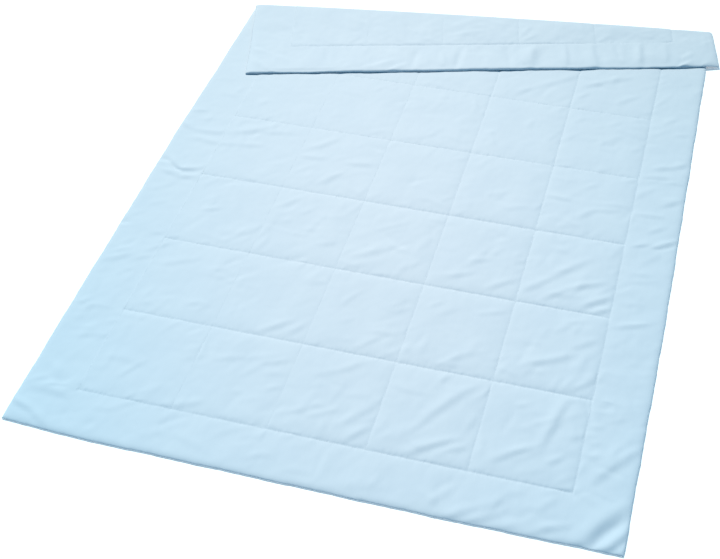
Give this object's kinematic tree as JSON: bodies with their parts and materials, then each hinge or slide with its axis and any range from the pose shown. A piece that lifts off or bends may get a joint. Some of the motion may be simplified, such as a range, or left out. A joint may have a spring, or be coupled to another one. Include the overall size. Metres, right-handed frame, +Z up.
{
  "type": "summer duvet",
  "caption": "Thin light blue summer duvet quilted in squares inside a plain border, lying flat with its far end folded back over itself at a slight skew.",
  "frame": {"origin": "on the surface it lies on, under the middle of the unfolded cloth, which is the middle of the centre square", "axes": "+X across to the right as seen from the near end, +Y along the cloth to the folded far end, +Z up from the surface"},
  "size_m": [1.4431, 1.8302, 0.023],
  "materials": {
    "cover": "matt"
  },
  "bodies": {
    "root": {"duvet": "cover"}
  },
  "joints": []
}
